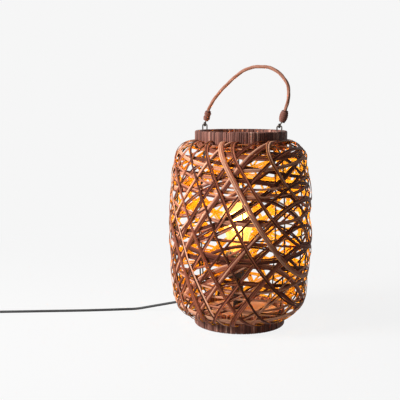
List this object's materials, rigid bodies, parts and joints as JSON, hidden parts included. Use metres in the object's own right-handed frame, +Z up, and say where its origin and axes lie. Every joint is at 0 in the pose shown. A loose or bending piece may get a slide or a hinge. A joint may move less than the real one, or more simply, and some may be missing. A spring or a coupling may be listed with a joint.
{
  "type": "table lamp",
  "caption": "Barrel-shaped woven rattan lantern lamp on a ring base, with a swinging twisted handle, an upright bulb inside and a mains cord with an in-line switch.",
  "frame": {"origin": "centre of the lamp's axis on the plane it stands on", "axes": "+Z up along the axis of the barrel, X to the right and Y to the back as seen in the picture; the cord leaves towards -X"},
  "size_m": [0.7945, 0.264, 0.4806],
  "materials": {
    "plywood": "sanded plywood",
    "nail": "bright wire nail",
    "bent_wood": "raw bent wood",
    "winding": "stained rattan peel",
    "black_wire": "black lacquer",
    "peel": "stained rattan peel",
    "zinc": "zinc plated",
    "black_plastic": "fine satin",
    "white_plastic": "moulded",
    "brass": "bright",
    "nickel": "nickel plated",
    "bulb_glass": "amber tinted glass",
    "clear_glass": "clear glass",
    "filament": "glowing phosphor",
    "dark_wire": "dark annealed wire",
    "rope": "twisted rattan",
    "cord": "black cord jacket"
  },
  "bodies": {
    "lamp": {"base_board": "plywood", "board_nails": "nail", "bottom_ring_core": "bent_wood", "bottom_ring_winding": "winding", "top_ring_core": "bent_wood", "top_ring_winding": "winding", "frame_ribs": "black_wire", "middle_hoop": "black_wire", "weave_layer_1": "peel", "weave_layer_2": "peel", "weave_layer_3": "peel", "weave_layer_4": "peel", "weave_layer_5": "peel", "weave_layer_6": "peel", "stem_tube": "zinc", "stem_sleeve": "black_plastic", "stem_washer": "zinc", "stem_nut": "zinc", "holder_cap": "black_plastic", "holder_shell": "black_plastic", "holder_insert": "white_plastic", "thread_sleeve": "brass", "centre_contact": "brass", "terminal_screws": "brass", "cord_grip": "black_plastic", "rim_loop_left": "dark_wire", "rim_loop_right": "dark_wire", "lamp_cord": "cord", "switch_base": "black_plastic", "switch_cover": "black_plastic", "switch_screws": "zinc", "switch_boots": "cord", "coil_lead": "cord", "cord_coil": "cord", "cord_tie": "black_plastic", "plug_lead": "cord", "plug_boot": "cord", "plug_body": "black_plastic", "plug_pins": "nickel"},
    "handle": {"handle_eye_left": "dark_wire", "handle_eye_right": "dark_wire", "handle_binding_left": "winding", "handle_binding_right": "winding", "handle_rope": "rope"},
    "bulb": {"bulb_cap": "nickel", "bulb_contact": "nickel", "bulb_glass": "bulb_glass", "bulb_mount": "clear_glass", "bulb_filaments": "filament"},
    "rocker": {"switch_rocker": "black_plastic"}
  },
  "joints": [
    {"name": "handle_swing", "type": "hinge", "parent": "lamp", "child": "handle", "pos_m": [0, 0, 0.372], "axis": [0.866, -0.5, 0], "range_deg": [-94, 94]},
    {"name": "bulb_turn", "type": "hinge", "parent": "lamp", "child": "bulb", "pos_m": [-0.004, 0, 0.2], "axis": [0, 0, 1], "continuous": true},
    {"name": "switch_rock", "type": "hinge", "parent": "lamp", "child": "rocker", "pos_m": [-0.551, 0.03, 0.01], "axis": [0, 1, 0], "range_deg": [-14, 0]}
  ]
}
